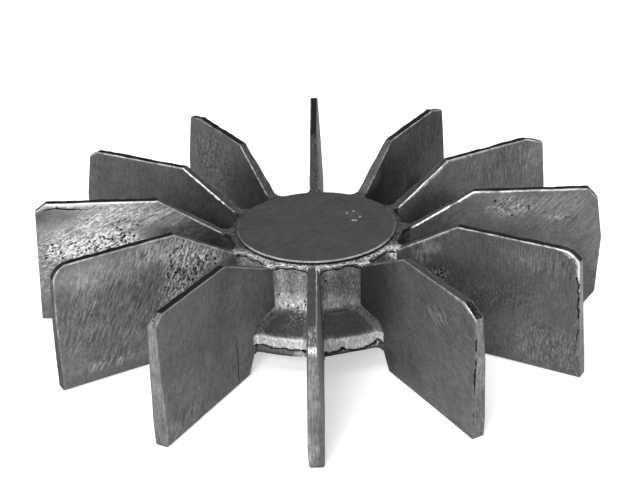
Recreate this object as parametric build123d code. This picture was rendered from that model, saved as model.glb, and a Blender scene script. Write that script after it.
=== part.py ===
from build123d import *
import os
from math import atan2, degrees, hypot, radians, tan

# One-piece cast impeller: a closed hub on a round flange, with straight radial blades.
# The axis is Z. The blades' feet stand on Z = 0, and the blades are numbered clockwise,
# seen from above, from the one that points along +Y.

# Driving dimensions, in millimetres and degrees
BLADE_COUNT = 12
TIP_RADIUS = 150.0        # outside of the blades, just below their worn top corners
BLADE_THICKNESS = 8.2     # at the parting plane, where a blade is thickest
DRAFT = 1.8               # lean of every cast face away from the parting plane
KNEE_RADIUS = 84.0        # where a blade's sloping inner edge meets its level top edge
BLADE_RISE = 18.0         # blade top edges above the hub's top disc
FOOT_HEIGHT = 10.5        # blade feet below the flange, where the moulds parted
FOOT_GAP = 3.0            # from the flange's rim out to the inner edge of a foot
FOOT_LEAN = 5.0           # how much further out that inner edge is at the bottom

HUB_RADIUS = 46.0         # at the shoulder
HUB_HEIGHT = 40.5         # from the flange's underside to the top disc
DISC_RADIUS = 42.8        # raised disc on top of the hub
DISC_STEP = 2.0           # its height above the shoulder ring
DISC_CHAMFER = 0.7

FLANGE_RADIUS = 70.0
FLANGE_THICKNESS = 11.0   # at the rim
FLOOR_RISE = 2.5          # the pocket floors climb this much from the rim to the hub
RIM_RADIUS = 3.0          # rounding of the flange's upper rim

BORE_RADIUS = 19.0        # blind shaft bore, open below
BORE_ROOF = 8.0           # metal left between the bore and the top disc
BORE_CHAMFER = 1.5

COVE_RADIUS = 6.0         # between the hub's wall and a pocket's floor
ROOT_RADIUS = 4.5         # fillet of a blade's root
EDGE_RADIUS = 1.0         # worn edges of the blades

# Each blade's outer top corner is worn off: how far along the top, how far down the tip
PLAIN_CORNER = (6.0, 4.5)
ODD_CORNERS = {
    1: (3.0, 3.0), 2: (13.0, 5.0), 3: (12.0, 4.5), 4: (5.0, 6.0), 5: (9.5, 5.0),
    6: (9.0, 4.5), 7: (8.0, 5.0), 9: (7.0, 7.0), 12: (13.0, 4.5),
}
KNEE_SHIFTS = {6: 5.0, 8: 7.0}      # blades whose knee is further out
TOP_SAGS = {1: 2.4, 2: 0.8, 11: 1.4, 12: 1.6}   # blades whose top edge falls towards the tip

# Below its top corner a blade's tip stands further out: by how much at the middle, and at the foot
TIP_MIDDLE = 40.0         # height of that middle
PLAIN_TIP = (1.2, 1.6)
ODD_TIPS = {
    4: (3.0, 0.0), 5: (1.2, 3.4), 6: (1.4, 0.3), 8: (0.8, 0.3), 10: (1.2, 3.0),
    11: (3.6, 4.2), 12: (3.6, 4.2),
}
SIDE_SHIFTS = {1: 1.2, 7: -1.3}     # blades cast a little beside their radius
CHIPPED_BLADE = 4         # this blade's lower outer corner is broken off
CHIP = (5.5, 7.0)         # along the foot, up the tip

# Worked-out dimensions
FLANGE_BOTTOM = FOOT_HEIGHT
RIM_TOP = FLANGE_BOTTOM + FLANGE_THICKNESS
HUB_TOP = FLANGE_BOTTOM + HUB_HEIGHT
SHOULDER = HUB_TOP - DISC_STEP
BLADE_TOP = HUB_TOP + BLADE_RISE
SLOPE_FOOT = HUB_RADIUS + ROOT_RADIUS
FOOT_RADIUS = FLANGE_RADIUS + FOOT_GAP
PITCH = 360 / BLADE_COUNT
BLADES = range(1, BLADE_COUNT + 1)
CLEAR = 10.0              # how far a cutting tool runs past what it cuts
NEAR = 0.1                # how close counts as touching, where edges and faces are picked


def lean(height):
    """How far a cast face has leaned in at this height above or below the parting plane."""
    return height * tan(radians(DRAFT))


def direction(number):
    """The angle at which a blade points, in degrees from +X."""
    return 90 - PITCH * (number - 1)


def at_blade(number, shape):
    """Bring a shape made along +X to where a blade is."""
    return Rot(0, 0, direction(number)) * Pos(0, SIDE_SHIFTS.get(number, 0), 0) * shape


def ring(points, corners=()):
    """A body of revolution about the axis, from its outline of radius and height.

    Each of the corners is a point of the outline and its fillet radius.
    """
    face = make_face(Polyline(*points, close=True))
    for point, radius in corners:
        face = fillet(face.vertices().sort_by_distance(Vector(*point))[0], radius)
    return revolve(Plane.XZ * face, Axis.Z)


def core():
    """The hub and flange in one, with the hub carried up to the height of the blades."""
    wall_foot = HUB_RADIUS + lean(SHOULDER - RIM_TOP)
    floor_edge = (wall_foot, RIM_TOP + FLOOR_RISE)
    rim = (FLANGE_RADIUS, RIM_TOP)
    outline = [
        (0, FLANGE_BOTTOM),
        (FLANGE_RADIUS, FLANGE_BOTTOM),
        rim,
        floor_edge,
        (HUB_RADIUS, SHOULDER),
        (HUB_RADIUS, BLADE_TOP),
        (0, BLADE_TOP),
    ]
    return ring(outline, [(floor_edge, COVE_RADIUS), (rim, RIM_RADIUS)])


def wedge(height):
    """A blank for a blade along +X, thickest at the parting plane, drafted to a height."""
    base = BLADE_THICKNESS / 2
    tip = base - lean(abs(height))
    section = Polyline(
        (-base, FLANGE_BOTTOM),
        (base, FLANGE_BOTTOM),
        (tip, FLANGE_BOTTOM + height),
        (-tip, FLANGE_BOTTOM + height),
        close=True,
    )
    return extrude(Plane.YZ * make_face(section), amount=TIP_RADIUS + CLEAR)


def root_edges(body):
    """The edges where the blades' faces meet the hub and the flange."""
    edges = body.edges().filter_by(lambda edge: radius_of(edge) < FLANGE_RADIUS + NEAR)
    edges = edges.filter_by_position(Axis.Z, FLANGE_BOTTOM, BLADE_TOP, inclusive=(False, False))
    return edges.filter_by(lambda edge: NEAR < off_blade(edge) < BLADE_THICKNESS / 2 + NEAR)


def radius_of(shape):
    """How far the middle of a face or an edge is from the axis."""
    middle = shape.center()
    return hypot(middle.X, middle.Y)


def off_blade(shape):
    """How far the middle of a face or an edge is from the middle plane of the nearest blade."""
    middle = shape.center()
    number = round((90 - degrees(atan2(middle.Y, middle.X))) / PITCH) % BLADE_COUNT + 1
    turned = middle.rotate(Axis.Z, -direction(number))
    return abs(turned.Y - SIDE_SHIFTS.get(number, 0))


def wheel():
    """The casting with its blades uncut: the root fillets run up to the blades' height."""
    body = core() + [at_blade(number, wedge(BLADE_TOP - FLANGE_BOTTOM)) for number in BLADES]
    body = fillet(root_edges(body), ROOT_RADIUS)
    return body + [at_blade(number, wedge(-FOOT_HEIGHT)) for number in BLADES]


def side_cut(number, outline):
    """A cutting tool across a blade, from an outline of radius and height."""
    face = Plane.XZ * make_face(Polyline(*outline, close=True))
    return at_blade(number, extrude(face, amount=BLADE_THICKNESS + ROOT_RADIUS, both=True))


def around_blade(number):
    """What is cut off above and beyond a blade.

    It leaves the sloping inner edge, the top edge, the worn corner and the tip.
    """
    run, drop = ODD_CORNERS.get(number, PLAIN_CORNER)
    middle, foot = ODD_TIPS.get(number, PLAIN_TIP)
    return side_cut(number, [
        (HUB_RADIUS, SHOULDER),
        (SLOPE_FOOT, SHOULDER),
        (KNEE_RADIUS + KNEE_SHIFTS.get(number, 0), BLADE_TOP),
        (TIP_RADIUS - run, BLADE_TOP - TOP_SAGS.get(number, 0)),
        (TIP_RADIUS, BLADE_TOP - drop),
        (TIP_RADIUS + middle, TIP_MIDDLE),
        (TIP_RADIUS + foot, 0),
        (TIP_RADIUS + foot, -CLEAR),
        (TIP_RADIUS + 2 * CLEAR, -CLEAR),
        (TIP_RADIUS + 2 * CLEAR, BLADE_TOP + CLEAR),
        (HUB_RADIUS, BLADE_TOP + CLEAR),
    ])


def above_hub():
    """What is cut off above the hub: it leaves the raised disc and the shoulder ring."""
    return ring([
        (0, HUB_TOP),
        (DISC_RADIUS - DISC_CHAMFER, HUB_TOP),
        (DISC_RADIUS, HUB_TOP - DISC_CHAMFER),
        (DISC_RADIUS, SHOULDER),
        (SLOPE_FOOT, SHOULDER),
        (SLOPE_FOOT, BLADE_TOP + CLEAR),
        (0, BLADE_TOP + CLEAR),
    ])


def below_flange():
    """What is cut out below the flange, inside the blades' feet."""
    return ring([
        (0, -CLEAR),
        (FOOT_RADIUS + FOOT_LEAN, -CLEAR),
        (FOOT_RADIUS + FOOT_LEAN, 0),
        (FOOT_RADIUS, FLANGE_BOTTOM),
        (0, FLANGE_BOTTOM),
    ])


def bore():
    """The blind shaft bore in the hub's underside, with its chamfered mouth."""
    return ring([
        (0, FLANGE_BOTTOM),
        (BORE_RADIUS + BORE_CHAMFER, FLANGE_BOTTOM),
        (BORE_RADIUS, FLANGE_BOTTOM + BORE_CHAMFER),
        (BORE_RADIUS, HUB_TOP - BORE_ROOF),
        (0, HUB_TOP - BORE_ROOF),
    ])


def chip():
    """The corner broken off the foot of one blade."""
    along, up = CHIP
    corner = TIP_RADIUS + ODD_TIPS.get(CHIPPED_BLADE, PLAIN_TIP)[1]
    return side_cut(CHIPPED_BLADE, [
        (corner - along, 0),
        (corner + along, 2 * up),
        (corner + along, -CLEAR),
        (corner - along, -CLEAR),
    ])


def narrow_faces(body):
    """The narrow faces that run round the blades: tops, slopes, worn corners, tips and soles."""
    faces = body.faces().filter_by(lambda face: off_blade(face) < NEAR)
    return faces.filter_by(lambda face: radius_of(face) > SLOPE_FOOT + EDGE_RADIUS)


def is_worn(edge):
    """Whether an edge of a narrow face lies along the blade and clear of the flange."""
    middle = edge.center()
    by_flange = 0 < middle.Z < FLANGE_BOTTOM and radius_of(edge) < FOOT_RADIUS + FOOT_LEAN
    at_shoulder = abs(middle.Z - SHOULDER) < NEAR
    return off_blade(edge) > NEAR and not by_flange and not at_shoulder


def worn_edges(body):
    """The edges that wear has rounded, all round the blades."""
    return [edge for face in narrow_faces(body) for edge in face.edges() if is_worn(edge)]


def impeller():
    """The finished casting."""
    body = wheel() - [above_hub(), below_flange(), bore(), chip()]
    body = body - [around_blade(number) for number in BLADES]
    return fillet(set(worn_edges(body)), EDGE_RADIUS)


os.makedirs("parts", exist_ok=True)
export_step(impeller(), "parts/impeller.step")
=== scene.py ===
import math
from functools import partial, reduce

import bpy
import numpy as np
from mathutils import Matrix, Vector


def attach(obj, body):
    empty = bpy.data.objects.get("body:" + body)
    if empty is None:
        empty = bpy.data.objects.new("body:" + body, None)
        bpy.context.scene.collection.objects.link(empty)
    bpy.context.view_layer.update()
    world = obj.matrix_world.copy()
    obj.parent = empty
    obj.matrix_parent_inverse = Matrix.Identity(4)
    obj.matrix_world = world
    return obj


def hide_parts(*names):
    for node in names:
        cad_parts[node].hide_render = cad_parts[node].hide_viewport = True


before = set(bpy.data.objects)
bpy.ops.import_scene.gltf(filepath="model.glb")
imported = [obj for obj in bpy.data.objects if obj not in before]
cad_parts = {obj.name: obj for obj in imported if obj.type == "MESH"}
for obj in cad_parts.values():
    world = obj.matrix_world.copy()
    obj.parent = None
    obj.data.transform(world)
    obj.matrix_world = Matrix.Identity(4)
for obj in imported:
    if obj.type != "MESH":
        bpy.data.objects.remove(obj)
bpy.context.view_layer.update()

# One-piece cast impeller. Lengths are in metres, but the tables of the blades' corners and tips,
# and of patches, cracks, specks and spots, are in millimetres. The blades are numbered clockwise,
# seen from above, from the one that points along +Y. On a blade, "out" is the distance from the
# axis, "across" is the distance from its middle plane, and "up" is the height.
MM = 0.001
BLADE_COUNT = 12
PITCH = 2 * math.pi / BLADE_COUNT
BLADES = range(1, BLADE_COUNT + 1)
FRONT_BLADE = 7
SIDE_SHIFTS = {1: 1.2 * MM, 7: -1.3 * MM}

# ------------------------------------------------------------------ outline of the blades
BLADE_TOP = 69 * MM
SHOULDER = 49 * MM
DISC_TOP = 51 * MM
PARTING = 10.5 * MM
RIM_TOP = 21.5 * MM
SLOPE_FOOT = 50.5 * MM
KNEE_RADIUS = 84 * MM
KNEE_SHIFTS = {6: 5 * MM, 8: 7 * MM}
TIP_RADIUS = 150 * MM
TIP_MIDDLE = 40 * MM
FLANGE_RADIUS = 70 * MM
DISC_RADIUS = 42.8 * MM
ROOT_RADIUS = 4.5 * MM
HALF_BLADE = 4.1 * MM
DRAFT = math.tan(math.radians(1.8))
PLAIN_CORNER = (6, 4.5)
ODD_CORNERS = {
    1: (3, 3), 2: (13, 5), 3: (12, 4.5), 4: (5, 6), 5: (9.5, 5),
    6: (9, 4.5), 7: (8, 5), 9: (7, 7), 12: (13, 4.5),
}
TOP_SAGS = {1: 2.4, 2: 0.8, 11: 1.4, 12: 1.6}
PLAIN_TIP = (1.2, 1.6)
ODD_TIPS = {
    4: (3, 0), 5: (1.2, 3.4), 6: (1.4, 0.3), 8: (0.8, 0.3), 10: (1.2, 3),
    11: (3.6, 4.2), 12: (3.6, 4.2),
}


def upper_line(number):
    """Points out and up along a blade's sloping inner edge, top edge and worn corner."""
    run, drop = ODD_CORNERS.get(number, PLAIN_CORNER)
    sag = TOP_SAGS.get(number, 0)
    return [
        (SLOPE_FOOT, SHOULDER),
        (KNEE_RADIUS + KNEE_SHIFTS.get(number, 0), BLADE_TOP),
        (TIP_RADIUS - run * MM, BLADE_TOP - sag * MM),
        (TIP_RADIUS, BLADE_TOP - drop * MM),
    ]


def tip_line(number):
    """Points out and up along a blade's tip."""
    drop = ODD_CORNERS.get(number, PLAIN_CORNER)[1]
    middle, foot = ODD_TIPS.get(number, PLAIN_TIP)
    return [
        (TIP_RADIUS, BLADE_TOP - drop * MM),
        (TIP_RADIUS + middle * MM, TIP_MIDDLE),
        (TIP_RADIUS + foot * MM, 0),
    ]


def blade_direction(number):
    angle = math.pi / 2 - PITCH * (number - 1)
    return Vector((math.cos(angle), math.sin(angle), 0))


# ------------------------------------------------------------------ mesh of the casting
GRID = 2.85 * MM           # spacing of the cuts that divide the blades
DISC_GRID = 2 * MM         # and of those that divide the top disc
CAKE_ANGLE = 5             # degrees between the cuts that divide the hub and the flange
BLADE_REACH = 9 * MM       # a blade and its fillets are within this of its middle plane
SPECKS_PLACE = (21 * MM, 11 * MM, 0)
SPECKS_REACH = 9 * MM
LIP_HEIGHT = 14.3 * MM     # where the moulds left a line round the flange's rim
LIP_WIDTH = 0.6 * MM
UPPER_RISE = 0.45 * MM     # how far the rim stands out above the line, and then below it
LOWER_RISE = -0.35 * MM
BAND_MIDDLE = math.radians(-56)     # where the lower half of the rim is narrow
BAND_REACH = (math.radians(30), math.radians(44))
ROOT_LEFT = 0.35 * MM      # what is left of the root fillets below the line
ROUND_CORNERS = (5, 9)     # blades whose worn corner is round
CORNER_CROWN = 1.3 * MM
HIGH_CUTS = (62.6 * MM, 61 * MM)    # across the tip of the front blade, for its bruise


def copy_casting():
    """The casting's own mesh, merged, with its flat faces in one piece each."""
    bpy.ops.object.select_all(action="DESELECT")
    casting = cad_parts["impeller"].copy()
    casting.data = casting.data.copy()
    casting.name = casting.data.name = "cast_impeller"
    casting.parent = None
    bpy.context.scene.collection.objects.link(casting)
    casting.data.materials.clear()
    casting.select_set(True)
    bpy.context.view_layer.objects.active = casting
    bpy.ops.object.mode_set(mode="EDIT")
    bpy.ops.mesh.select_all(action="SELECT")
    bpy.ops.mesh.remove_doubles(threshold=0.00002)
    bpy.ops.mesh.dissolve_limited(angle_limit=math.radians(0.3))
    bpy.ops.object.mode_set(mode="OBJECT")
    return casting


def read_vectors(items, name):
    """One vector of each point or face of a mesh, as rows."""
    flat = np.empty(len(items) * 3)
    items.foreach_get(name, flat)
    return flat.reshape(-1, 3)


def points_of(mesh):
    return read_vectors(mesh.vertices, "co")


def face_middles(mesh):
    return read_vectors(mesh.polygons, "center")


def face_normals(mesh):
    return read_vectors(mesh.polygons, "normal")


def move_points(mesh, points):
    mesh.vertices.foreach_set("co", points.ravel())
    mesh.update()


def radius_of(points):
    """How far each point is from the wheel's axis."""
    return np.hypot(points[:, 0], points[:, 1])


def on_blade(points, number):
    """Out, across and up of each point, as a blade has them."""
    ahead = blade_direction(number)
    out = points[:, 0] * ahead.x + points[:, 1] * ahead.y
    across = -points[:, 0] * ahead.y + points[:, 1] * ahead.x - SIDE_SHIFTS.get(number, 0)
    return out, across, points[:, 2]


def select(mesh, kind, chosen):
    """Select these points (VERT) or faces (FACE) and nothing else, from object mode to edit mode."""
    bpy.ops.object.mode_set(mode="EDIT")
    bpy.ops.mesh.select_mode(type=kind)
    bpy.ops.mesh.select_all(action="DESELECT")
    bpy.ops.object.mode_set(mode="OBJECT")
    items = mesh.vertices if kind == "VERT" else mesh.polygons
    items.foreach_set("select", chosen)
    bpy.ops.object.mode_set(mode="EDIT")


def cut_faces(casting, chosen, cuts):
    """Cut these faces by planes. Each cut is a place on the plane and the way that it faces."""
    select(casting.data, "FACE", chosen)
    bpy.ops.mesh.hide(unselected=True)
    for place, normal in cuts:
        bpy.ops.mesh.select_all(action="SELECT")
        bpy.ops.mesh.bisect(plane_co=place, plane_no=normal)
    bpy.ops.mesh.reveal()
    bpy.ops.object.mode_set(mode="OBJECT")


def level_cuts(heights):
    return [((0, 0, height), (0, 0, 1)) for height in heights]


def divide_levels(casting):
    """Cut the blades and the rim by level planes."""
    heights = [GRID * (step + 0.5) for step in range(int(BLADE_TOP / GRID))]
    heights += [LIP_HEIGHT, LIP_HEIGHT + LIP_WIDTH]
    cut_faces(casting, radius_of(face_middles(casting.data)) > DISC_RADIUS + GRID, level_cuts(heights))


def divide_hub(casting):
    """Cut the hub and the flange like a cake."""
    middles = face_middles(casting.data)
    angles = [math.radians(CAKE_ANGLE * (step + 0.5)) for step in range(round(180 / CAKE_ANGLE))]
    cuts = [((0, 0, 0), (math.sin(angle), -math.cos(angle), 0)) for angle in angles]
    cut_faces(casting, (radius_of(middles) < FLANGE_RADIUS + MM) & (middles[:, 2] > PARTING + MM), cuts)


def on_disc(middles):
    """Whether each face, by its middle, is part of the top disc."""
    return (radius_of(middles) < DISC_RADIUS) & (np.abs(middles[:, 2] - DISC_TOP) < 0.1 * MM)


def divide_disc(casting):
    """Cut the top disc in squares, and finer where its bright specks are."""
    count = int(DISC_RADIUS / DISC_GRID)
    places = [(step * DISC_GRID, step * DISC_GRID, 0) for step in range(-count, count + 1)]
    cuts = [(place, normal) for normal in ((1, 0, 0), (0, 1, 0)) for place in places]
    cut_faces(casting, on_disc(face_middles(casting.data)), cuts)
    middles = face_middles(casting.data)
    by_specks = radius_of(middles - np.array(SPECKS_PLACE)) < SPECKS_REACH
    select(casting.data, "FACE", on_disc(middles) & by_specks)
    bpy.ops.mesh.subdivide(number_cuts=3)
    bpy.ops.object.mode_set(mode="OBJECT")


def divide_blade(casting, number):
    """Cut one blade by planes across its length."""
    out, across = on_blade(face_middles(casting.data), number)[:2]
    ahead = blade_direction(number)
    count = int((TIP_RADIUS - SLOPE_FOOT) / GRID) + 1
    cuts = [(ahead * (SLOPE_FOOT + GRID * (step + 0.5)), ahead) for step in range(count)]
    cut_faces(casting, (out > SLOPE_FOOT) & (np.abs(across) < BLADE_REACH), cuts)


def divide_tip(casting, number, heights):
    """Cut the tip of one blade by level planes, near its worn corner."""
    out, across = on_blade(face_middles(casting.data), number)[:2]
    cut_faces(casting, (out > TIP_RADIUS - MM) & (np.abs(across) < BLADE_REACH), level_cuts(heights))


def shape_rim(casting):
    """Leave the moulds' line round the rim: the upper half stands out over the lower half."""
    points = points_of(casting.data)
    radius = radius_of(points)
    middle = LIP_HEIGHT + 0.5 * LIP_WIDTH
    upper = (points[:, 2] > middle) & (points[:, 2] < RIM_TOP + MM)
    lower = (points[:, 2] < middle) & (points[:, 2] > PARTING + 0.1 * MM)
    rim = (radius > FLANGE_RADIUS - 3.3 * MM) & (radius < FLANGE_RADIUS + 0.4 * MM)
    for chosen, rise in ((upper & rim, UPPER_RISE), (lower & rim, LOWER_RISE)):
        select(casting.data, "VERT", chosen)
        size = 1 + rise / FLANGE_RADIUS
        bpy.ops.transform.resize(value=(size, size, 1), center_override=(0, 0, 0))
        bpy.ops.object.mode_set(mode="OBJECT")
    narrow_band(casting, rim)
    near_lip = rim & (np.abs(points[:, 2] - LIP_HEIGHT) < 1.5 * MM)
    displace(casting, "lip", near_lip.astype(float), 0.007, 1.6 * MM, direction="Z", contrast=1.5)


def square_roots(casting):
    """Below the moulds' line the flange's rim meets the blades in sharp corners, without fillets."""
    points = points_of(casting.data)
    radius = radius_of(points)
    ahead = points[:, :2] / np.maximum(radius, MM)[:, None]
    weight = fade(points[:, 2], LIP_HEIGHT - 0.2 * MM, LIP_HEIGHT + 0.5 * MM)
    weight *= points[:, 2] > PARTING - 0.1 * MM
    numbers = nearest_blade(points)
    for number in BLADES:
        across = on_blade(points, number)[1]
        beyond = ROOT_RADIUS - (radius - FLANGE_RADIUS)
        beside = ROOT_RADIUS - (np.abs(across) - half_thickness(points[:, 2]))
        inside = (numbers == number) & (np.minimum(beyond, beside) > 0.02 * MM)
        inside &= np.maximum(beyond, beside) < ROOT_RADIUS + 0.05 * MM
        reach = np.maximum(np.maximum(beyond, beside), MM)
        growth = np.where(inside, (ROOT_RADIUS - ROOT_LEFT) / reach - 1, 0)
        growth = np.maximum(growth, 0) * weight
        points[:, :2] -= ahead * (beyond * growth)[:, None]
        sideways = np.sign(across) * beside * growth
        direction = blade_direction(number)
        points[:, 0] += sideways * direction.y
        points[:, 1] -= sideways * direction.x
    move_points(casting.data, points)


def narrow_band(casting, rim):
    """Near the front right the moulds' line is lower and the lower edge is worn up."""
    points = points_of(casting.data)
    turned = np.arctan2(points[:, 1], points[:, 0]) - BAND_MIDDLE
    weight = rim * fade(np.abs(turned), *BAND_REACH)
    for number in BLADES:
        across = on_blade(points, number)[1]
        clear = 1 - fade(np.abs(across), 4.2 * MM, 5.5 * MM)
        weight *= np.where(nearest_blade(points) == number, clear, 1)
    lip = fade(np.abs(points[:, 2] - LIP_HEIGHT - 0.3 * MM), 0.8 * MM, 3.5 * MM)
    edge = fade(points[:, 2] - PARTING, 0.2 * MM, 2.5 * MM)
    points[:, 2] += weight * (edge * 1.2 * MM - lip * 1.5 * MM)
    move_points(casting.data, points)


def round_corner(casting, number):
    """Crown the worn corner of a blade, which the solid has as a straight cut."""
    points = points_of(casting.data)
    out, across, up = on_blade(points, number)
    start, end = upper_line(number)[2:]
    along = along_run(out, up, start, end)
    gap = np.abs(beside_line(out, up, [start, end]))
    near = (np.abs(across) < HALF_BLADE) & (along > 0.02) & (along < 0.98)
    bulge = np.where(near, fade(gap, 1.2 * MM, 3 * MM) * along * (1 - along) * 4 * CORNER_CROWN, 0)
    run, rise = end[0] - start[0], end[1] - start[1]
    bulge /= math.hypot(run, rise)
    ahead = blade_direction(number)
    points[:, 0] -= bulge * rise * ahead.x
    points[:, 1] -= bulge * rise * ahead.y
    points[:, 2] += bulge * run
    move_points(casting.data, points)


def displace(piece, name, weights, size, strength, direction="NORMAL", middle=0.5, contrast=1.0,
             intensity=1.0):
    """Move the piece's points by soft noise, each as far as its weight says, and keep it."""
    group = piece.vertex_groups.new(name=name)
    for step in range(1, 11):
        level = np.round(weights * 10) == step
        group.add([int(index) for index in np.nonzero(level)[0]], step / 10, "REPLACE")
    texture = bpy.data.textures.new(name, "CLOUDS")
    texture.noise_scale = size
    texture.noise_depth = 2
    texture.contrast = contrast
    texture.intensity = intensity
    modifier = piece.modifiers.new(name, "DISPLACE")
    modifier.texture = texture
    modifier.texture_coords = "LOCAL"
    modifier.vertex_group = name
    modifier.direction = direction
    modifier.strength = strength
    modifier.mid_level = middle
    bpy.ops.object.modifier_apply(modifier=name)
    piece.vertex_groups.remove(piece.vertex_groups[name])


def along_run(out, up, start, end):
    """How far each point out and up is along a straight run, from 0 at its start to 1 at its end."""
    run, rise = end[0] - start[0], end[1] - start[1]
    return ((out - start[0]) * run + (up - start[1]) * rise) / (run * run + rise * rise)


def beside_line(out, up, line):
    """How far each point out and up is from a line of straight runs, below 0 on one side of it."""
    nearest = np.full(len(out), np.inf)
    for (out_a, up_a), (out_b, up_b) in zip(line, line[1:]):
        run, rise = out_b - out_a, up_b - up_a
        along = np.clip(along_run(out, up, (out_a, up_a), (out_b, up_b)), 0, 1)
        gap = np.hypot(out - out_a - along * run, up - up_a - along * rise)
        gap = np.where((up - up_a) * run < (out - out_a) * rise, -gap, gap)
        nearest = np.where(np.abs(gap) < np.abs(nearest), gap, nearest)
    return nearest


def nearest_blade(points):
    """The number of the blade that each point is nearest to."""
    turned = (math.pi / 2 - np.arctan2(points[:, 1], points[:, 0])) / PITCH
    return np.round(turned).astype(int) % BLADE_COUNT + 1


def half_thickness(up):
    return HALF_BLADE - np.abs(up - PARTING) * DRAFT


def fade(distance, near, far):
    """1 up to the near distance, falling smoothly to 0 at the far one."""
    step = np.clip((far - distance) / (far - near), 0, 1)
    return step * step * (3 - 2 * step)


def roughen(casting):
    """Cast waviness everywhere below the hub's top, and nicks in the blades' edges."""
    points = points_of(casting.data)
    radius = radius_of(points)
    numbers = nearest_blade(points)
    nicks = np.zeros(len(points))
    for number in BLADES:
        out, across, up = on_blade(points, number)
        own = (numbers == number) & (out > SLOPE_FOOT)
        edge = half_thickness(up) - np.abs(across)
        rounding = fade(np.abs(edge - 0.3 * MM), 0.4 * MM, 0.9 * MM)
        gap = np.abs(beside_line(out, up, upper_line(number)))
        nicks = np.where(own, rounding * fade(gap, 0.6 * MM, 1.4 * MM), nicks)
    waves = fade(SLOPE_FOOT - radius, 0, 2 * MM) * fade(PARTING - points[:, 2], 12 * MM, 14 * MM)
    displace(casting, "waves", waves, 0.045, 0.4 * MM)
    displace(casting, "nicks", nicks, 0.006, 0.35 * MM, middle=0.9, contrast=3, intensity=1.4)


# ------------------------------------------------------------------ wear and finish, with painted light and shade
class Patch:
    """A soft oval on one side of a blade, with what it adds to each kind of finish; some darken a blade
    by the hub as painted shade.
    """

    def __init__(self, blade, side, out, up, reach_out, reach_up,
                 tone=0, grit=0, scratch=0, shine=0):
        self.blade, self.side = blade, side
        self.out, self.up = out * MM, up * MM
        self.reach_out, self.reach_up = reach_out * MM, reach_up * MM
        self.amounts = (tone, grit, scratch, shine)


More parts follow.
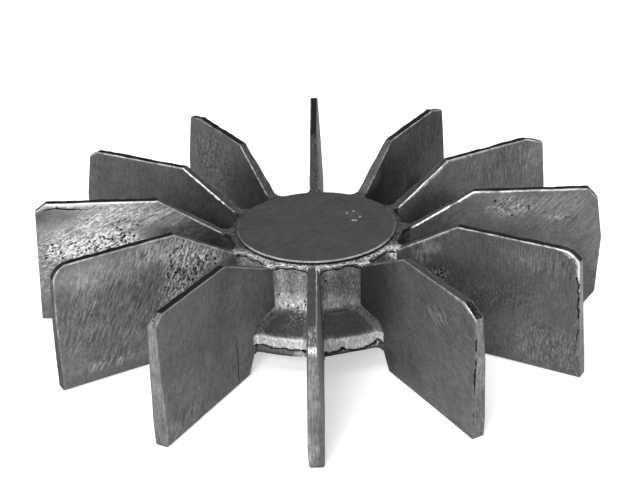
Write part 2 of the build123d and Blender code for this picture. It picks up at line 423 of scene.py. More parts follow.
PATCHES = [
    # left blade: bright and ground, pitted lower down, with a smooth corner
    Patch(10, 1, 115, 50, 44, 22, tone=1.6, scratch=0.6, grit=0.35),
    Patch(10, 1, 96, 62, 26, 11, tone=0.8, scratch=0.6, grit=0.2),
    Patch(10, 1, 122, 68, 42, 6, tone=0.8, shine=2.2),
    Patch(10, 1, 140, 60, 15, 8, tone=-0.35, scratch=-1.0, grit=-0.5),
    Patch(10, 1, 109, 46, 20, 10, grit=1.0, tone=0.25),
    Patch(10, 1, 88, 51, 14, 10, tone=-0.75, scratch=-0.4, grit=-0.3),
    Patch(10, 1, 103, 56, 14, 7, tone=-1.2, scratch=-0.2),
    Patch(10, 1, 128, 62, 10, 5, tone=-0.6, scratch=-0.4),
    Patch(10, 1, 77, 60, 13, 8, tone=0.9, scratch=0.4),
    Patch(10, 1, 148, 22, 9, 15, tone=0.5, grit=0.3),
    # painted shade by the hub
    Patch(10, 1, 56, 40, 12, 18, tone=-0.2, scratch=-0.1),
    Patch(10, 1, 146, 38, 12, 13, tone=0.5, grit=0.5, scratch=0.3),
    Patch(10, 1, 129, 41, 24, 10, grit=0.9, tone=0.55),
    Patch(10, 1, 147, 12, 14, 18, tone=-0.2, scratch=-0.3),
    # painted shade by the hub, with scratches
    Patch(10, 1, 62, 48, 24, 20, tone=-0.3, scratch=0.35),
    # next blade towards the front: scratched all over, pitted near the hub
    Patch(9, 1, 80, 49, 17, 19, grit=1.2, tone=0.4, scratch=0.2),
    Patch(9, 1, 62, 52, 12, 10, grit=0.6, tone=0.8),
    Patch(9, 1, 76, 57, 14, 7, tone=0.7),
    Patch(9, 1, 130, 60, 26, 9, tone=0.35),
    Patch(9, 1, 67, 50, 10, 10, tone=0.5),
    Patch(9, 1, 84, 46, 9, 9, tone=-0.3),
    Patch(9, 1, 118, 61, 40, 13, tone=0.65),
    Patch(9, 1, 88, 35, 12, 11, grit=0.6, tone=0.3),
    Patch(9, 1, 92, 63, 26, 9, scratch=0.8, tone=0.8, grit=0.2),
    Patch(9, 1, 120, 38, 44, 34, scratch=0.6),
    Patch(9, 1, 140, 60, 24, 20, tone=0.15),
    Patch(9, 1, 141, 66, 18, 9, shine=0.5),
    Patch(9, 1, 151, 4, 10, 30, shine=-0.6),
    Patch(9, 1, 126, 9, 22, 5, scratch=0.9),
    Patch(9, 1, 128, 0, 44, 6, scratch=-0.8, grit=-0.2),
    # front left blade: smooth
    Patch(8, 1, 123, 58, 34, 22, tone=0.15),
    Patch(8, 1, 136, 8, 26, 7, scratch=0.8),
    Patch(8, 1, 74, 38, 28, 40, tone=0.4),
    # front blade
    Patch(7, -1, 100, 60, 90, 60, tone=-0.5, shine=-0.4),
    Patch(7, 1, 72, 52, 56, 40, shine=0.9),
    # front right blade
    # painted shade towards the hub
    Patch(6, -1, 58, 44, 40, 36, tone=-0.45),
    Patch(6, -1, 122, 53, 15, 6, scratch=0.8, tone=0.15),
    Patch(6, -1, 142, 67, 16, 9, shine=1.0),
    Patch(6, -1, 135, 20, 34, 30, tone=0.1),
    Patch(6, -1, 79, 7, 7, 10, tone=-0.35),
    Patch(6, -1, 92, 12, 16, 16, tone=-0.25),
    # right blade: rough near the hub, pitted, worn at its corner
    Patch(5, -1, 98, 40, 38, 20, tone=-0.2),
    Patch(5, -1, 75, 40, 8, 7, grit=1.0, tone=0.3),
    Patch(5, -1, 108, 36, 30, 10, grit=0.25),
    Patch(5, -1, 138, 14, 26, 16, grit=0.3, scratch=0.3),
    Patch(5, -1, 130, 60, 26, 9, tone=0.25, scratch=0.4),
    Patch(5, -1, 146, 63, 12, 12, shine=1.6, scratch=0.4),
    Patch(5, -1, 151, 10, 10, 44, shine=-1.2),
    Patch(5, -1, 64, 48, 7, 6, scratch=0.9, tone=0.7),
    Patch(5, -1, 68, 60, 26, 16, shine=0.9),
    Patch(5, -1, 70, 55, 9, 5, tone=0.7, scratch=0.4),
    Patch(5, -1, 112, 14, 26, 22, tone=0.3),
    # blade behind it
    Patch(4, -1, 104, 60, 18, 8, grit=0.6, tone=0.4, scratch=0.3),
    Patch(4, -1, 128, 62, 20, 9, scratch=0.5, tone=0.3),
    Patch(4, -1, 130, 53, 10, 3, grit=0.6, tone=0.3),
    Patch(4, -1, 60, 46, 24, 20, tone=-0.3),
    Patch(4, -1, 68, 60, 26, 16, shine=0.8),
    Patch(4, -1, 92, 68, 22, 6, shine=0.9, tone=0.3),
    Patch(4, -1, 130, 68, 24, 5, shine=0.6),
    # rear blades: dark towards the hub, as painted shade
    Patch(3, -1, 74, 38, 30, 22, tone=-0.55),
    Patch(3, -1, 68, 60, 26, 16, shine=1.5),
    Patch(3, -1, 95, 68, 20, 6, shine=0.8),
    Patch(3, -1, 125, 58, 36, 18, scratch=0.4, tone=-0.1),
    Patch(3, -1, 146, 60, 14, 12, tone=0.3),
    Patch(2, -1, 100, 44, 90, 60, tone=-0.3),
    Patch(2, -1, 74, 38, 50, 32, tone=-0.35),
    Patch(2, -1, 110, 28, 16, 14, tone=-0.3),
    Patch(2, -1, 60, 56, 12, 10, tone=0.5),
    Patch(2, -1, 125, 56, 36, 22, scratch=0.3, tone=-0.2),
    Patch(12, 1, 118, 46, 36, 24, grit=0.6, tone=-0.15),
    Patch(12, 1, 70, 40, 44, 34, tone=-0.5),
    Patch(11, 1, 66, 44, 50, 36, tone=-0.4),
    Patch(11, 1, 78, 28, 34, 20, tone=-0.3),
    Patch(11, 1, 68, 60, 26, 16, shine=0.9),
    Patch(12, 1, 68, 60, 26, 16, shine=0.4),
    Patch(11, 1, 125, 58, 40, 24, tone=-0.2),
    # the sides that face away
    Patch(9, -1, 120, 48, 30, 18, tone=0.6, scratch=0.5, grit=0.3),
    Patch(7, 1, 110, 40, 34, 22, scratch=0.4),
    Patch(5, 1, 82, 48, 16, 14, grit=0.8, tone=0.5),
    Patch(3, 1, 118, 50, 30, 16, tone=0.5, scratch=0.6),
    Patch(1, 1, 100, 46, 30, 16, grit=0.6, tone=0.2),
    Patch(1, -1, 120, 52, 26, 14, scratch=0.6),
    Patch(11, -1, 84, 46, 18, 14, grit=0.8, tone=0.4),
    Patch(12, -1, 116, 48, 30, 16, scratch=0.5, tone=0.3),
    Patch(6, 1, 104, 44, 26, 16, grit=0.5),
    Patch(2, 1, 96, 54, 24, 12, tone=0.5, scratch=0.6),
]
GRAIN_ANGLES = {9: 116, 10: 152, 8: 115, 4: 48, 5: 90, 3: 85, 6: 150, 11: 100, 2: 85}
PLAIN_GRAIN = 95
GRAIN_SHIFT = 0.17         # moves the noise on from blade to blade, so that no two are alike
PLATE_SHIFT = 0.31
FAR = 99.0                 # millimetres to a line, where there is none
# Dark cracks and seams, by blade, side and width, with points out and up along each
CRACKS = [
    (5, -1, 1.2, [(149.4, 56), (150.6, 42), (151.4, 34)]),
    (5, -1, 0.9, [(151.5, 27), (151.2, 20)]),
    (6, -1, 0.8, [(150.6, 55), (151.4, 40), (150.9, 12)]),
    (8, 1, 0.8, [(87.2, 22), (88.0, 4)]),
    (10, 1, 0.9, [(144, 65.4), (137, 66), (126, 65.2)]),
]
BLADE_TONES = {
    1: 0.75, 2: 0.68, 3: 1.02, 4: 1.06, 5: 0.76, 6: 0.82, 8: 1.12, 9: 0.97, 11: 0.78, 12: 0.7,
}
TIP_TONES = {9: 0.35, 5: 1.3, 7: 0.93}
PLAIN_BRUISE = (0.15, 0.3, 0.3, 0)
BRUISED_CORNERS = {7: (0.9, 0.7, 0.3, 0), 6: (0.1, 0.8, 0.3, 0), 8: (0.5, 1.2, 0.3, 0.3)}
PLAIN_LEVEL = 0.07
LEVEL_TONES = {6: 0.35, 7: 0.4}
PLAIN_SLOPE = 0.35
SLOPE_TONES = {2: 0.7, 6: 0.5, 7: 0.4}
WORN_TIPS = (5, 7, 8, 9)   # blades worn bright down the edges of the tip too
# How bright the wear along each blade's upper edge is
EDGE_WEAR = {
    1: 0.3, 2: 0.6, 3: 1.1, 4: 1.0, 5: 0.95, 6: 0.4, 7: 0.35, 8: 0.2, 9: 0.55, 10: 0.9,
    11: 1.3, 12: 0.5,
}
NARROW = 0.35              # a narrow face's normal leans no more than this to a blade's side


def paint_blade(number, points, normals):
    """The finish of a blade's corners: tone, grit, scratches and shine, and painted shade towards the
    hub.
    """
    out, across, up = on_blade(points, number)
    ahead = blade_direction(number)
    facing = -normals[:, 0] * ahead.y + normals[:, 1] * ahead.x
    outward = normals[:, 0] * ahead.x + normals[:, 1] * ahead.y
    paint = np.zeros((len(points), 4))
    # painted shade: every blade a quarter darker towards the hub
    paint[:, 0] = 1 - 0.25 * fade(out, 55 * MM, 95 * MM)
    paint[:, 1] = 0.05
    paint[:, 2] = 0.18
    for patch in PATCHES:
        if patch.blade == number:
            gap = np.hypot((out - patch.out) / patch.reach_out, (up - patch.up) / patch.reach_up)
            weight = fade(gap, 0.35, 1.0) * (across * patch.side > 0)
            paint += weight[:, None] * np.array(patch.amounts)
    narrow = np.abs(facing) < NARROW
    rounded = ~narrow & (np.abs(facing) < 0.97)
    level = narrow & (normals[:, 2] > 0.9)
    slope = narrow & (normals[:, 2] > 0.3) & (normals[:, 2] < 0.9)
    tip = narrow & (outward > 0.9)
    sole = narrow & (normals[:, 2] < -0.3)
    paint[:, 0] *= BLADE_TONES.get(number, 1)
    for faces, tone, grit, scratch in (
        (level, LEVEL_TONES.get(number, PLAIN_LEVEL), 0.1, 0.1),
        (slope, SLOPE_TONES.get(number, PLAIN_SLOPE), 0.2, 0.5),
        (tip, 1.15, 0.05, 0.45),
        (sole, 0.5, 0.3, 0.1),
    ):
        paint[faces] = (tone, grit, scratch, 0)
    corner = (level | slope) & (out > upper_line(number)[2][0] - 0.5 * MM)
    paint[corner] = BRUISED_CORNERS.get(number, PLAIN_BRUISE)
    upper_tone = 0.85 + 0.3 * fade(TIP_MIDDLE - up[tip], 0, 25 * MM)
    paint[tip, 0] *= TIP_TONES.get(number, 1) * upper_tone
    worn = rounded & (normals[:, 2] > -0.5) & (np.abs(normals[:, 2]) + outward > 0.1)
    paint[worn, 3] += 0.8 * EDGE_WEAR[number]
    if number == FRONT_BLADE:
        paint_front_tip(paint, across, up, tip)
        paint[worn & (across > 0) & (out > TIP_RADIUS - 2 * MM), 3] = 0
    return paint


def paint_front_tip(paint, across, up, tip):
    """The front blade's tip: a bright bruise near the top, and a bright left side."""
    bruise = fade(np.abs(tip_line(FRONT_BLADE)[0][1] - 2.2 * MM - up), 0.8 * MM, 2 * MM) * tip
    paint += bruise[:, None] * np.array((3, 0.8, 0, 0))
    paint[tip, 0] -= 0.35 * across[tip] / HALF_BLADE
    bright_side = tip * fade(across + HALF_BLADE, 0.8 * MM, 1.4 * MM) * fade(up, 14 * MM, 28 * MM)
    paint[:, 0] += 1.2 * bright_side


WALL_FOOT = 24.3 * MM      # between a pocket's floor and the hub's wall
RIM_START = 66.5 * MM      # between a pocket's floor and the rounding of the rim
FRONT_REACH = (0.85, 1.2)  # radians from the front to where the hub's painted light starts to fade, and ends
# Tone, grit, scratches and shine of the kinds of faces of the hub and the flange, with the step's
# painted shadow and the chamfer's painted highlight
PLAIN_HUB = (0.7, 0.3, 0.2, 0)
HUB_FINISH_AND_SHADE = {
    "disc": (0.4, 0, 0, 0),
    "chamfer": (0.8, 0.2, 0.2, 0.6),
    # painted shadow under the disc's edge
    "step": (0.08, 0.1, 0, 0),
    "ring": (0.36, 0.5, 0.1, 0),
    "wall": (0.5, 0.4, 0, 0),
    "floor": (0.6, 0.1, 0, 0),
    "rim": (0.6, 0.35, 0, 0),
    "below": (0.9, 0.2, 0.1, 0),
    "under": (0.8, 0.4, 0.1, 0),
}
# Small bright specks on the top disc: place and tone
DISC_SPECKS = [
    (16.7, 14.2, 2.4), (20.4, 15.7, 2.0), (23.6, 8.7, 1.9), (19.8, 4.6, 2.5), (21.3, 4.5, 2.0),
    (18.8, 12.4, 0.5), (22.3, 12.8, 0.4), (-22.7, 8.9, 0.4),
]
# Spots on the hub and the flange: place, reach, and what they add to the tone and the grit
HUB_SPOTS = [
    ((42, -29.5, 47.5), 7, 2.6, 0.6),
    ((-9, -52, 26), 8, 0, 1.3),
    ((-9.5, -69.5, 11), 4, 2.5, 0.3),
]


def hub_faces(normals, middles):
    """Which corners belong to which kind of face of the hub and the flange."""
    radius = radius_of(middles)
    height = middles[:, 2]
    flat = normals[:, 2] > 0.95
    chamfer = ~flat & (height > SHOULDER + 1.3 * MM)
    ring = flat & (np.abs(height - SHOULDER) < 0.3 * MM)
    return {
        "disc": flat & (height > SHOULDER + MM),
        "chamfer": chamfer,
        "step": ~flat & (height > SHOULDER + 0.1 * MM) & ~chamfer,
        "ring": ring,
        "wall": (height > WALL_FOOT) & (height < SHOULDER) & ~ring,
        "floor": (height > RIM_TOP - 1.5 * MM) & (height <= WALL_FOOT),
        "rim": (radius > RIM_START) & (height > LIP_HEIGHT),
        "below": (radius > RIM_START) & (height <= LIP_HEIGHT + LIP_WIDTH),
        "under": normals[:, 2] < -0.7,
    }


def paint_hub(points, normals, middles):
    """The finish of the corners of the hub and the flange, with painted light at the front and painted
    shade on its top and in its pockets.
    """
    faces = hub_faces(normals, middles)
    # how near each corner is to the front, where light is painted on the hub
    lit_front = fade(np.abs(np.arctan2(middles[:, 0], -middles[:, 1])), *FRONT_REACH)
    paint = np.zeros((len(points), 4))
    paint[:] = PLAIN_HUB
    for kind, finish in HUB_FINISH_AND_SHADE.items():
        paint[faces[kind]] = finish
    paint_top(paint, points, lit_front, faces)
    paint_rim(paint, points, faces)
    # painted light beside the blades' roots at the front
    root_light = np.zeros(len(points))
    numbers = nearest_blade(middles)
    for number in BLADES:
        across = on_blade(points, number)[1]
        root_light += (numbers == number) * fade(np.abs(across), 8 * MM, 10.5 * MM)
    root_light *= np.abs(normals[:, 2]) < 0.9
    paint_pocket_light(paint, points, lit_front, root_light, faces)
    for place, reach, tone, grit in HUB_SPOTS:
        gap = np.linalg.norm(points - np.array(place) * MM, axis=1)
        spot = fade(gap, 0.4 * reach * MM, reach * MM) * ~(faces["disc"] | faces["under"])
        paint += spot[:, None] * np.array((tone, grit, 0, 0))
    return paint


def paint_top(paint, points, lit_front, faces):
    """The top disc's specks, its chamfer with a painted highlight at the front, and the ring round it,
    painted darker by the disc as shade and brighter outwards at the front as painted light.
    """
    disc, chamfer, ring = faces["disc"], faces["chamfer"], faces["ring"]
    # painted highlight on the chamfer at the front
    paint[chamfer, 0] += 1.4 * lit_front[chamfer]
    outward_light = np.clip((radius_of(points) - DISC_RADIUS) / (3.2 * MM), 0, 1)
    # painted shade on the ring by the disc, painted light outwards at the front
    paint[ring, 0] += lit_front[ring] * (0.5 + 2.2 * outward_light[ring])
    paint[ring, 1] += 0.5 * lit_front[ring]
    for x, y, tone in DISC_SPECKS:
        gap = np.hypot(points[:, 0] - x * MM, 0.5 * (points[:, 1] - y * MM))
        paint[disc, 0] += tone * fade(gap[disc], 0.2 * MM, 0.9 * MM)


def paint_rim(paint, points, faces):
    """The rim's bright brow and dark lower edge."""
    rim, below = faces["rim"], faces["below"]
    brow = 1 - fade(radius_of(points), 68.2 * MM, 69.9 * MM)
    brow *= fade(points[:, 2], RIM_TOP - 1.5 * MM, RIM_TOP)
    paint[rim, 0] += 3.0 * brow[rim]
    paint[below, 0] *= 1 - 0.65 * fade(points[below, 2] - PARTING, 0.2 * MM, 1.3 * MM)


def paint_pocket_light(paint, points, lit_front, root_light, faces):
    """Painted light and shade on the hub's wall and the floors between the blades: bright at the front
    and by the roots, darker at the back, with a band of light low on the wall, and more light on the
    right pocket's wall by the front blade.
    """
    wall, floor = faces["wall"], faces["floor"]
    x, z = points[:, 0], points[:, 2]
    roots = floor | wall
    paint[roots, 0] += (0.35 * lit_front * root_light)[roots]
    # painted shade: the walls darker away from the front
    paint[wall, 0] *= 0.5 + 0.5 * lit_front[wall]
    on_wall = 1 - fade(z, 24.6 * MM, 26.8 * MM)
    # painted band of light low on the wall
    low_wall_light = np.exp(-((z - 29 * MM) / (4.5 * MM)) ** 2)
    left = fade(x, -2 * MM, 2 * MM)
    # the right pocket's wall gets more painted light by the front blade and less further right
    right = np.where(x > 0, 0.35 + 1.25 * fade(x, 5 * MM, 18 * MM), 1)
    paint[wall, 0] += (on_wall * lit_front * right * (0.55 + 0.45 * left + 1.8 * low_wall_light))[wall]
    # painted light on the floor right of the front blade
    paint[floor, 0] += (0.55 * lit_front * (x > 0) * fade(x, 4 * MM, 16 * MM))[floor]


def nearest_crack(number, out, across, up):
    """How far each point of a blade is from its nearest crack, in widths of the crack."""
    near_side = half_thickness(up) - np.abs(across) < MM
    nearest = np.full(len(out), FAR * MM)
    for blade, side, width, places in CRACKS:
        if blade == number:
            gap = beside_line(out, up, [(a * MM, b * MM) for a, b in places])
            gap = np.where((across * side > 0) & near_side, gap / width, FAR * MM)
            nearest = np.where(np.abs(gap) < np.abs(nearest), gap, nearest)
    return nearest


def nearest_brim(number, out, up):
    """How far each point of a blade is from its nearest edge that is worn bright."""
    brim = np.abs(beside_line(out, up, upper_line(number)))
    if number in WORN_TIPS:
        brim = np.minimum(brim, np.abs(beside_line(out, up, tip_line(number))))
    return brim


def blade_grain(number, out, across, up, normals):
    """The place of each point of a blade along its grain, beside it and across the blade."""
    angle = math.radians(GRAIN_ANGLES.get(number, PLAIN_GRAIN))
    along = out * math.cos(angle) + up * math.sin(angle)
    beside = up * math.cos(angle) - out * math.sin(angle)
    shift = GRAIN_SHIFT * number
    grain = np.stack([along, beside, across + shift], axis=1)
    ahead = blade_direction(number)
    narrow = np.abs(normals[:, 1] * ahead.x - normals[:, 0] * ahead.y) < NARROW
    run = np.where(normals[:, 2] > 0.3, out, up)
    grain[narrow] = np.stack([run, across, np.full(len(out), shift)], axis=1)[narrow]
    return grain


def face_corners(mesh):
    """The point and the face that each corner of the faces belongs to, as their numbers."""
    points = np.empty(len(mesh.loops), int)
    mesh.loops.foreach_get("vertex_index", points)
    sizes = np.empty(len(mesh.polygons), int)
    mesh.polygons.foreach_get("loop_total", sizes)
    return points, np.repeat(np.arange(len(sizes)), sizes)


def paint_casting(casting):
    """Write the places and the finish, with its painted light and shade, that the material reads to the
    corners of the faces.
    """
    mesh = casting.data
    corner_points, corner_faces = face_corners(mesh)
    points = points_of(mesh)[corner_points]
    normals = face_normals(mesh)[corner_faces]
    middles = face_middles(mesh)[corner_faces]
    paint = paint_hub(points, normals, middles)
    plate = points.copy()
    grain = points[:, [2, 0, 1]].copy()
    lines = np.full((len(points), 3), FAR)
    radius = radius_of(middles)
    rim = radius > FLANGE_RADIUS - 2.5 * MM
    wall = (radius < SLOPE_FOOT) & (middles[:, 2] < SHOULDER) & (middles[:, 2] > SHOULDER - 6 * MM)
    # painted shadow lines: round the rim at the moulds' line under its lip, and under the shoulder's
    # edge at the top of the hub's wall
    lines[rim, 1] = 0.5 * (points[rim, 2] - LIP_HEIGHT - 0.5 * LIP_WIDTH) / MM
    lines[wall, 1] = 0.8 * (points[wall, 2] - SHOULDER) / MM + 1.3
    numbers = nearest_blade(middles)
    for number in BLADES:
        out, across, up = on_blade(middles, number)
        own = (numbers == number) & (np.abs(across) < half_thickness(up) + 0.1 * MM)
        own &= (out > SLOPE_FOOT) & ((out > FLANGE_RADIUS) | (up > 24 * MM))
        out, across, up = on_blade(points[own], number)
        paint[own] = paint_blade(number, points[own], normals[own])
        plate[own] = np.stack([out, across + PLATE_SHIFT * number, up], axis=1)
        grain[own] = blade_grain(number, out, across, up, normals[own])
        lines[own, 0] = nearest_brim(number, out, up) / MM
        lines[own, 1] = nearest_crack(number, out, across, up) / MM
    for name, values in (("plate", plate), ("grain", grain), ("lines", lines)):
        mesh.attributes.new(name, "FLOAT_VECTOR", "CORNER").data.foreach_set("vector", values.ravel())
    colour = mesh.attributes.new("paint", "FLOAT_COLOR", "CORNER")
    colour.data.foreach_set("color", np.clip(paint, 0, 4).ravel())


casting = copy_casting()
divide_levels(casting)
divide_hub(casting)
divide_disc(casting)
for number in BLADES:
    divide_blade(casting, number)
divide_tip(casting, FRONT_BLADE, HIGH_CUTS)
paint_casting(casting)
for number in ROUND_CORNERS:
    round_corner(casting, number)
square_roots(casting)
shape_rim(casting)
roughen(casting)


# ------------------------------------------------------------------ materials
WORN_GREY = 0.6            # of bright worn metal
HOLE_AND_SHADOW_GREY = 0.012          # of pits, seams, and the painted shadow lines round the rim and under the shoulder


class Nodes:
    """A material's nodes, with short calls for the kinds that are used here."""

    def __init__(self, name):
        self.material = bpy.data.materials.new(name)
        self.material.use_nodes = True
        self.tree = self.material.node_tree
        self.shader = self.tree.nodes["Principled BSDF"]

    def add(self, kind, inputs=(), **settings):
        node = self.tree.nodes.new("ShaderNode" + kind)
        for key, value in settings.items():
            setattr(node, key, value)
        for key, value in dict(inputs).items():
            self.put(node.inputs[key], value)
        return node

    def put(self, socket, value):
        if isinstance(value, bpy.types.NodeSocket):
            self.tree.links.new(value, socket)
        else:
            socket.default_value = value

    def attribute(self, name):
        return self.add("Attribute", attribute_name=name)

    def split(self, vector):
        return self.add("SeparateXYZ", {0: vector}).outputs

    def math(self, operation, *values):
        return self.add("Math", enumerate(values), operation=operation).outputs[0]

    def times(self, *values):
        return reduce(partial(self.math, "MULTIPLY"), values)

    def plus(self, *values):
        return reduce(partial(self.math, "ADD"), values)

    def step(self, value, low, high, to_low=0.0, to_high=1.0):
        inputs = {"Value": value, "From Min": low, "From Max": high}
        inputs.update({"To Min": to_low, "To Max": to_high})
        return self.add("MapRange", inputs, interpolation_type="SMOOTHSTEP").outputs["Result"]

    def mix(self, amount, a, b):
        node = self.add("Mix", data_type="FLOAT")
        self.put(node.inputs["Factor"], amount)
        self.put(node.inputs["A"], a)
        self.put(node.inputs["B"], b)
        return node.outputs["Result"]

    def stretch(self, vector, sizes):
        inputs = {0: vector, 1: sizes}
        return self.add("VectorMath", inputs, operation="MULTIPLY").outputs[0]

    def noise(self, vector, scale, detail=2.0, roughness=0.5, distortion=0.0):
        inputs = {"Vector": vector, "Scale": scale, "Detail": detail}
        inputs.update({"Roughness": roughness, "Distortion": distortion})
        return self.add("TexNoise", inputs).outputs["Fac"]

    def cells(self, vector, scale):
        return self.add("TexVoronoi", {"Vector": vector, "Scale": scale})


def scratches(nodes, grain, scratch, clouds):
    """Along the grain: fine light and dark hatching, its shade, and separate bright streaks."""
    hatch = nodes.noise(nodes.stretch(grain, (140, 1300, 1300)), 1.0, 2.0, 0.6)
    hatch = nodes.step(hatch, 0.34, 0.66)
    shade = nodes.plus(0.05, nodes.times(scratch, 0.95))
    shade = nodes.times(nodes.math("SUBTRACT", hatch, 0.5), shade)
    fine = nodes.noise(nodes.stretch(grain, (260, 1500, 1500)), 1.0, 1.0, 0.5)
    coarse = nodes.noise(nodes.stretch(grain, (130, 800, 800)), 1.0, 2.0, 0.6, 0.4)
    streaks = nodes.plus(nodes.step(fine, 0.6, 0.7), nodes.step(coarse, 0.6, 0.7))
    streaks = nodes.times(streaks, scratch, nodes.step(clouds, 0.35, 0.6, 0.3, 1.0))
    return hatch, shade, streaks


def pits(nodes, plate, grit):
    """Round holes, more of them where there is more grit."""
    cell = nodes.cells(plate, 450)
    hole = nodes.step(cell.outputs["Distance"], 0.2, 0.4, 1.0, 0.0)
    chance = nodes.split(cell.outputs["Color"])[0]
    share = nodes.times(nodes.plus(grit, -0.2), 0.5)
    return nodes.times(hole, nodes.step(nodes.math("SUBTRACT", share, chance), 0.0, 0.08))


def worn_metal(nodes, plate, brim, shine, ragged):
    """Bright metal on the worn edges, in a ragged line."""
    width = nodes.plus(1.6, nodes.times(shine, 2.4))
    width = nodes.times(nodes.math("SUBTRACT", ragged, 0.22), width)
    worn = nodes.step(nodes.math("SUBTRACT", brim, width), -0.6, 0.5, 1.0, 0.0)
    patches = nodes.step(nodes.noise(plate, 120, 3, 0.7), 0.35, 0.6, 0.2, 1.0)
    return nodes.times(worn, shine, patches, nodes.step(ragged, 0.3, 0.6, 0.5, 1.0))


def seams_and_shadow_lines(nodes, plate, crack_and_shadow, ragged):
    """Dark lines where the cracks and the moulds' line are, swaying a little: the moulds' line round
    the rim is painted dark as the shadow under its lip, and a line under the shoulder's edge is painted
    shadow.
    """
    sway = nodes.math("SUBTRACT", nodes.noise(plate, 130, 2, 0.6), 0.5)
    crack_and_shadow = nodes.math("ABSOLUTE", nodes.plus(crack_and_shadow, nodes.times(sway, 4.0)))
    return nodes.step(nodes.plus(crack_and_shadow, nodes.times(ragged, 0.9)), 0.6, 1.1, 1.0, 0.0)


def cast_iron():
    """Bare cast iron: dark skin, ground and worn bright in places, scratched and pitted, with the
    painted light and shade that the paint and lines attributes carry.
    """
    nodes = Nodes("cast_iron")
    plate = nodes.attribute("plate").outputs["Vector"]
    grain = nodes.attribute("grain").outputs["Vector"]
    paint = nodes.attribute("paint")
    tone, grit, scratch = nodes.split(paint.outputs["Vector"])
    brim, crack_and_shadow = nodes.split(nodes.attribute("lines").outputs["Vector"])[:2]
    clouds = nodes.noise(plate, 60, 3, 0.6)
    mottle = nodes.noise(plate, 230, 3, 0.6)
    skin = nodes.noise(plate, 900, 3, 0.65)
    ragged = nodes.noise(plate, 330, 3, 0.7)
    hatch, shade, streaks = scratches(nodes, grain, scratch, clouds)
    worn = worn_metal(nodes, plate, brim, paint.outputs["Alpha"], ragged)
    seam_and_shadow = seams_and_shadow_lines(nodes, plate, crack_and_shadow, ragged)
    dark = nodes.math("MAXIMUM", nodes.math("MINIMUM", pits(nodes, plate, grit), 1.0), seam_and_shadow)

    # rough cast skin: bright crumbs with dark gaps between
    lumps = nodes.noise(nodes.stretch(grain, (480, 900, 900)), 1.0, 2.0, 0.6, 0.5)
    crumbs = nodes.step(lumps, 0.5, 0.62)
    gaps = nodes.step(lumps, 0.36, 0.48, 1.0, 0.0)

    shade = nodes.math("MAXIMUM", nodes.plus(1.0, shade), 0.25)
    grey = nodes.times(tone, 0.135, nodes.step(clouds, 0.3, 0.7, 0.9, 1.1), shade)
    grey = nodes.times(grey, nodes.step(skin, 0.3, 0.7, 0.84, 1.16))
    grey = nodes.times(grey, nodes.step(mottle, 0.3, 0.7, 0.91, 1.09))
    grey = nodes.plus(grey, nodes.times(streaks, nodes.plus(0.07, nodes.times(tone, 0.1))))
    grey = nodes.plus(grey, nodes.times(crumbs, grit, nodes.plus(0.03, nodes.times(tone, 0.2))))
    grey = nodes.plus(grey, nodes.times(gaps, grit, tone, -0.07))
    grey = nodes.mix(nodes.math("MINIMUM", worn, 1.0), grey, WORN_GREY)
    grey = nodes.mix(dark, grey, HOLE_AND_SHADOW_GREY)
    grey = nodes.math("MAXIMUM", nodes.math("MINIMUM", grey, 0.75), 0.008)

    bright = nodes.plus(worn, nodes.times(streaks, 0.5))
    height = nodes.plus(nodes.times(skin, 0.25), nodes.times(lumps, grit, 1.5))
    height = nodes.plus(height, nodes.times(streaks, -0.35), nodes.times(dark, -1.0))
    height = nodes.plus(height, nodes.times(hatch, scratch, 0.25))
    bump = nodes.add("Bump", {"Height": height, "Strength": 0.5, "Distance": 0.0005})
    blue = nodes.times(grey, 1.01)
    colour = nodes.add("CombineColor", {0: grey, 1: grey, 2: blue}).outputs[0]
    metallic = nodes.plus(nodes.step(grey, 0.01, 0.08, 0, 0.4), nodes.step(bright, 0, 1, 0, 0.5))
    nodes.put(nodes.shader.inputs["Base Color"], colour)
    nodes.put(nodes.shader.inputs["Specular IOR Level"], 0.02)
    nodes.put(nodes.shader.inputs["Metallic"], metallic)
    nodes.put(nodes.shader.inputs["Roughness"], nodes.step(bright, 0.0, 1.2, 0.62, 0.42))
    nodes.put(nodes.shader.inputs["Normal"], bump.outputs["Normal"])
    return nodes.material


casting.data.materials.append(cast_iron())
bpy.ops.object.shade_smooth_by_angle(angle=math.radians(40))
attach(casting, "root")
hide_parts("impeller")


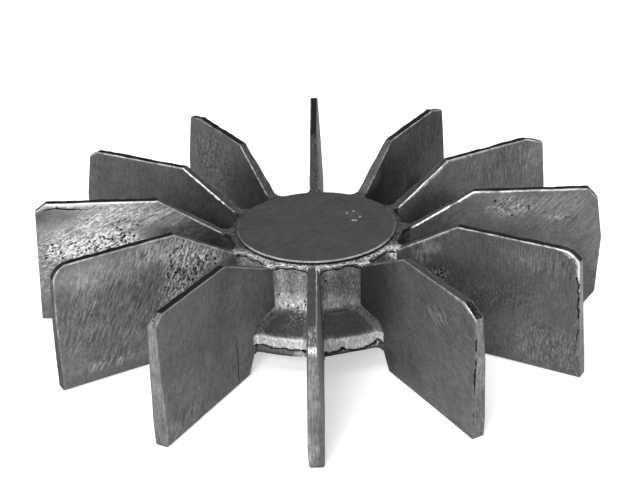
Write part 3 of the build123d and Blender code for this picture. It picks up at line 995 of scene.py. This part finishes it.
# ------------------------------------------------------------------ floor, light and camera
def add_floor():
    """A pale floor that is white to the camera, and keeps the casting's soft shadow."""
    bpy.ops.object.select_all(action="DESELECT")
    bpy.ops.mesh.primitive_plane_add(size=14, location=(0, 0, -0.0004))
    floor = bpy.context.object
    floor.name = "floor"
    nodes = Nodes("pale_floor")
    nodes.put(nodes.shader.inputs["Base Color"], (0.9, 0.9, 0.9, 1))
    nodes.put(nodes.shader.inputs["Roughness"], 0.9)
    rays = nodes.add("LightPath").outputs
    seen = nodes.math("MAXIMUM", rays["Is Camera Ray"], rays["Is Glossy Ray"])
    glow = nodes.add("Emission", {"Color": (1, 1, 1, 1), "Strength": nodes.times(seen, 0.45)})
    both = nodes.add("AddShader", {0: nodes.shader.outputs[0], 1: glow.outputs[0]})
    nodes.put(nodes.tree.nodes["Material Output"].inputs["Surface"], both.outputs[0])
    floor.data.materials.append(nodes.material)


LAMPS_AIM = Vector((0, 0, 0.03))
# Name, place, width in metres and watts
LAMPS = [
    ("front_lamp", (-0.35, -1.3, 0.75), 0.7, 16),
    ("top_lamp", (-0.5, -0.3, 1.4), 0.9, 8),
    ("back_lamp", (0.8, 1.2, 0.8), 0.8, 9),
]


def add_lamp(name, place, size, power):
    data = bpy.data.lights.new(name, "AREA")
    data.shape = "DISK"
    data.size = size
    data.energy = power
    lamp = bpy.data.objects.new(name, data)
    lamp.location = place
    lamp.rotation_euler = (LAMPS_AIM - Vector(place)).to_track_quat("-Z", "Y").to_euler()
    bpy.context.scene.collection.objects.link(lamp)


CAMERA_PLACE = Vector((0.0016, -0.7265, 0.4048))
CAMERA_TARGET = Vector((0.0016, 0.0, 0.0419))
CAMERA_TURN = math.radians(0.856)      # about the wheel's axis
CAMERA_ROLL = math.radians(-2.026)     # about the line of sight
CAMERA_LENS = 84.545


def add_camera():
    turn = Matrix.Rotation(CAMERA_TURN, 4, "Z")
    place = turn @ CAMERA_PLACE
    sight = (turn @ CAMERA_TARGET) - place
    data = bpy.data.cameras.new("camera")
    data.lens = CAMERA_LENS
    data.sensor_width = 36
    data.clip_start = 0.01
    camera = bpy.data.objects.new("camera", data)
    aim = sight.to_track_quat("-Z", "Y").to_matrix().to_4x4()
    camera.matrix_world = Matrix.Translation(place) @ aim @ Matrix.Rotation(CAMERA_ROLL, 4, "Z")
    bpy.context.scene.collection.objects.link(camera)
    bpy.context.scene.camera = camera


def add_world():
    world = bpy.data.worlds.new("studio")
    bpy.context.scene.world = world
    world.use_nodes = True
    background = world.node_tree.nodes["Background"]
    background.inputs["Color"].default_value = (1, 1, 1, 1)
    background.inputs["Strength"].default_value = 0.6


add_floor()
add_camera()
add_world()
for lamp in LAMPS:
    add_lamp(*lamp)

bpy.context.scene.view_settings.view_transform = "Standard"
